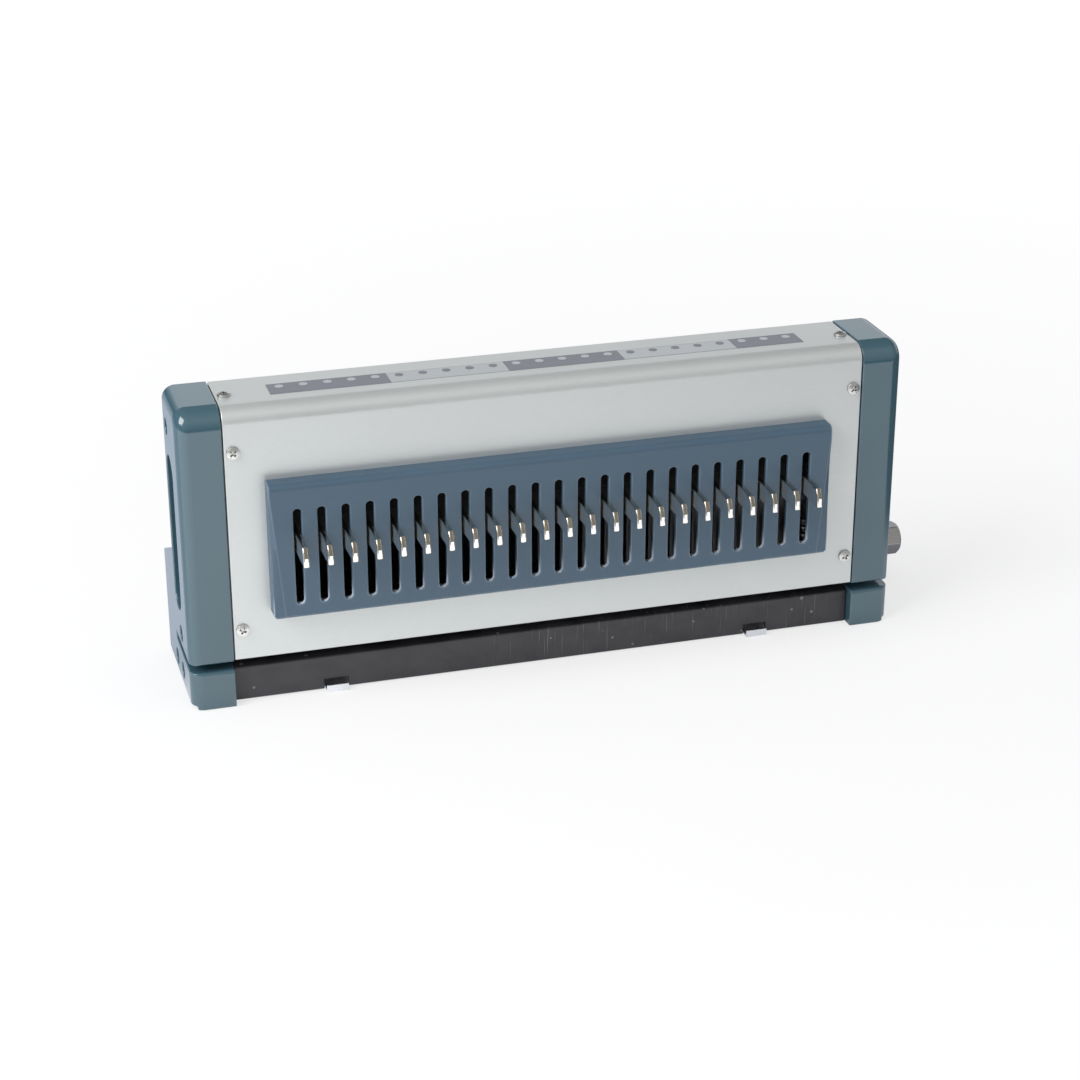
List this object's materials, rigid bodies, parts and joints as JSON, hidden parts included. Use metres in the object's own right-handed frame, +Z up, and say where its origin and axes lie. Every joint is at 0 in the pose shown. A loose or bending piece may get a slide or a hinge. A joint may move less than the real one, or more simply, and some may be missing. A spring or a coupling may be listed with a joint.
{
  "type": "binding punch",
  "caption": "Bench binding punch die unit: paper throat, row of round punch pins on a sliding ram, a pull tab for each pin and a hexagonal drive shaft end.",
  "frame": {"origin": "middle of the base between the two end cheeks and between the front and the rear of the lower body, at the level the unit stands on", "axes": "+X along the row of holes towards the hexagonal shaft end, -Y towards the user and the paper throat, +Z up"},
  "size_m": [0.4275, 0.115, 0.1686],
  "materials": {
    "cheek_plastic": "satin moulded plastic, blue-grey",
    "cover_aluminium": "satin anodised sheet",
    "hood_paint": "fine-textured dark paint",
    "floor_zinc": "dark paint",
    "plate_steel": "ground",
    "bezel_plastic": "fine-grained moulded plastic, blue-grey",
    "print_light": "printed film",
    "print_dark": "printed film",
    "black_steel": "blackened steel",
    "bright_steel": "bright plated",
    "spring_steel": "drawn wire",
    "tool_steel": "ground",
    "bracket_steel": "milled",
    "bronze": "turned bronze",
    "shaft_steel": "turned, hexagon milled",
    "screw_zinc": "bright zinc plate",
    "tab_nickel": "bright nickel plate"
  },
  "bodies": {
    "body": {"left_cheek": "cheek_plastic", "right_cheek": "cheek_plastic", "front_cover": "cover_aluminium", "rear_cover": "cover_aluminium", "rear_hood": "hood_paint", "floor_plate": "floor_zinc", "left_side_plate": "black_steel", "right_side_plate": "black_steel", "bezel": "bezel_plastic", "mark_film": "print_light", "mark_fields": "print_dark", "light_dots": "print_light", "dark_dots": "print_dark", "die_bar": "black_steel", "front_catches": "bright_steel", "paper_stop": "plate_steel", "guide_plate": "plate_steel", "tie_bar": "plate_steel", "guide_columns": "bright_steel", "return_springs": "spring_steel", "shaft_bearings": "bronze", "cover_screws": "screw_zinc", "rear_screws": "screw_zinc", "cheek_screws": "black_steel"},
    "ram": {"ram_beam": "black_steel", "tab_comb": "black_steel", "pin_keeper": "black_steel", "punch_pins": "tool_steel", "left_ram_bracket": "bracket_steel", "right_ram_bracket": "bracket_steel", "ram_bushes": "bronze", "left_rack": "tool_steel", "right_rack": "tool_steel"},
    "shaft": {"drive_shaft": "shaft_steel", "pinions": "tool_steel"},
    "tab_01": {"pull_tab_01": "tab_nickel"},
    "tab_02": {"pull_tab_02": "tab_nickel"},
    "tab_03": {"pull_tab_03": "tab_nickel"},
    "tab_04": {"pull_tab_04": "tab_nickel"},
    "tab_05": {"pull_tab_05": "tab_nickel"},
    "tab_06": {"pull_tab_06": "tab_nickel"},
    "tab_07": {"pull_tab_07": "tab_nickel"},
    "tab_08": {"pull_tab_08": "tab_nickel"},
    "tab_09": {"pull_tab_09": "tab_nickel"},
    "tab_10": {"pull_tab_10": "tab_nickel"},
    "tab_11": {"pull_tab_11": "tab_nickel"},
    "tab_12": {"pull_tab_12": "tab_nickel"},
    "tab_13": {"pull_tab_13": "tab_nickel"},
    "tab_14": {"pull_tab_14": "tab_nickel"},
    "tab_15": {"pull_tab_15": "tab_nickel"},
    "tab_16": {"pull_tab_16": "tab_nickel"},
    "tab_17": {"pull_tab_17": "tab_nickel"},
    "tab_18": {"pull_tab_18": "tab_nickel"},
    "tab_19": {"pull_tab_19": "tab_nickel"},
    "tab_20": {"pull_tab_20": "tab_nickel"},
    "tab_21": {"pull_tab_21": "tab_nickel"},
    "tab_22": {"pull_tab_22": "tab_nickel"},
    "tab_23": {"pull_tab_23": "tab_nickel"}
  },
  "joints": [
    {"name": "ram_stroke", "type": "slide", "parent": "body", "child": "ram", "axis": [0, 0, -1], "range_m": [0, 0.014], "stiffness_N_per_m": 3000, "springref_m": -0.018, "deforming": ["return_springs"]},
    {"name": "shaft_turn", "type": "hinge", "parent": "body", "child": "shaft", "pos_m": [0, 0.02195, 0.022], "axis": [1, 0, 0], "range_deg": [0, 63.67]},
    {"name": "tab_01_pull", "type": "slide", "parent": "ram", "child": "tab_01", "axis": [0, -1, 0], "range_m": [0, 0.01]},
    {"name": "tab_02_pull", "type": "slide", "parent": "ram", "child": "tab_02", "axis": [0, -1, 0], "range_m": [0, 0.01]},
    {"name": "tab_03_pull", "type": "slide", "parent": "ram", "child": "tab_03", "axis": [0, -1, 0], "range_m": [0, 0.01]},
    {"name": "tab_04_pull", "type": "slide", "parent": "ram", "child": "tab_04", "axis": [0, -1, 0], "range_m": [0, 0.01]},
    {"name": "tab_05_pull", "type": "slide", "parent": "ram", "child": "tab_05", "axis": [0, -1, 0], "range_m": [0, 0.01]},
    {"name": "tab_06_pull", "type": "slide", "parent": "ram", "child": "tab_06", "axis": [0, -1, 0], "range_m": [0, 0.01]},
    {"name": "tab_07_pull", "type": "slide", "parent": "ram", "child": "tab_07", "axis": [0, -1, 0], "range_m": [0, 0.01]},
    {"name": "tab_08_pull", "type": "slide", "parent": "ram", "child": "tab_08", "axis": [0, -1, 0], "range_m": [0, 0.01]},
    {"name": "tab_09_pull", "type": "slide", "parent": "ram", "child": "tab_09", "axis": [0, -1, 0], "range_m": [0, 0.01]},
    {"name": "tab_10_pull", "type": "slide", "parent": "ram", "child": "tab_10", "axis": [0, -1, 0], "range_m": [0, 0.01]},
    {"name": "tab_11_pull", "type": "slide", "parent": "ram", "child": "tab_11", "axis": [0, -1, 0], "range_m": [0, 0.01]},
    {"name": "tab_12_pull", "type": "slide", "parent": "ram", "child": "tab_12", "axis": [0, -1, 0], "range_m": [0, 0.01]},
    {"name": "tab_13_pull", "type": "slide", "parent": "ram", "child": "tab_13", "axis": [0, -1, 0], "range_m": [0, 0.01]},
    {"name": "tab_14_pull", "type": "slide", "parent": "ram", "child": "tab_14", "axis": [0, -1, 0], "range_m": [0, 0.01]},
    {"name": "tab_15_pull", "type": "slide", "parent": "ram", "child": "tab_15", "axis": [0, -1, 0], "range_m": [0, 0.01]},
    {"name": "tab_16_pull", "type": "slide", "parent": "ram", "child": "tab_16", "axis": [0, -1, 0], "range_m": [0, 0.01]},
    {"name": "tab_17_pull", "type": "slide", "parent": "ram", "child": "tab_17", "axis": [0, -1, 0], "range_m": [0, 0.01]},
    {"name": "tab_18_pull", "type": "slide", "parent": "ram", "child": "tab_18", "axis": [0, -1, 0], "range_m": [0, 0.01]},
    {"name": "tab_19_pull", "type": "slide", "parent": "ram", "child": "tab_19", "axis": [0, -1, 0], "range_m": [0, 0.01]},
    {"name": "tab_20_pull", "type": "slide", "parent": "ram", "child": "tab_20", "axis": [0, -1, 0], "range_m": [0, 0.01]},
    {"name": "tab_21_pull", "type": "slide", "parent": "ram", "child": "tab_21", "axis": [0, -1, 0], "range_m": [0, 0.01]},
    {"name": "tab_22_pull", "type": "slide", "parent": "ram", "child": "tab_22", "axis": [0, -1, 0], "range_m": [0, 0.01]},
    {"name": "tab_23_pull", "type": "slide", "parent": "ram", "child": "tab_23", "axis": [0, -1, 0], "range_m": [0, 0.01]}
  ],
  "couplings": [
    {"joint": "shaft_turn", "follows": "ram_stroke", "rad_per_m": 79.365}
  ]
}
